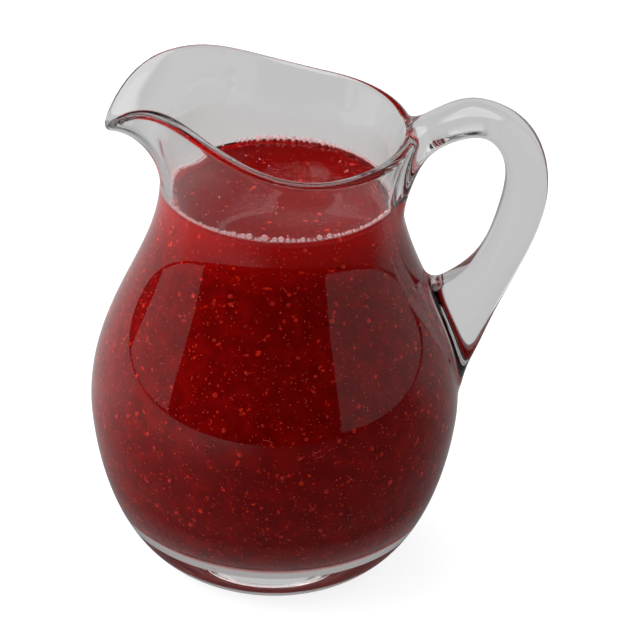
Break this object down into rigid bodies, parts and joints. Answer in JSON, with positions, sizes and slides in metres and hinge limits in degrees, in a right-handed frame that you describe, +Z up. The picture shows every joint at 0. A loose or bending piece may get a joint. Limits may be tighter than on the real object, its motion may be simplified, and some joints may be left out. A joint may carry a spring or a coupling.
{
  "type": "sauce jug",
  "caption": "Small clear glass jug with a pulled pouring spout and a loop handle, filled to the neck with red fruit sauce.",
  "frame": {"origin": "centre of the round foot, on the surface that the jug stands on", "axes": "+Z up along the jug's axis; +X towards the handle, -X towards the pouring spout; Y is across, and the jug is the same on both sides"},
  "size_m": [0.1199, 0.1006, 0.1385],
  "materials": {
    "glass": "clear, colourless soda glass, fire-polished and smooth",
    "sauce": "deep red, translucent, wet fruit sauce with fine pulp and seeds"
  },
  "bodies": {
    "root": {"jug": "glass", "sauce": "sauce"}
  },
  "joints": []
}
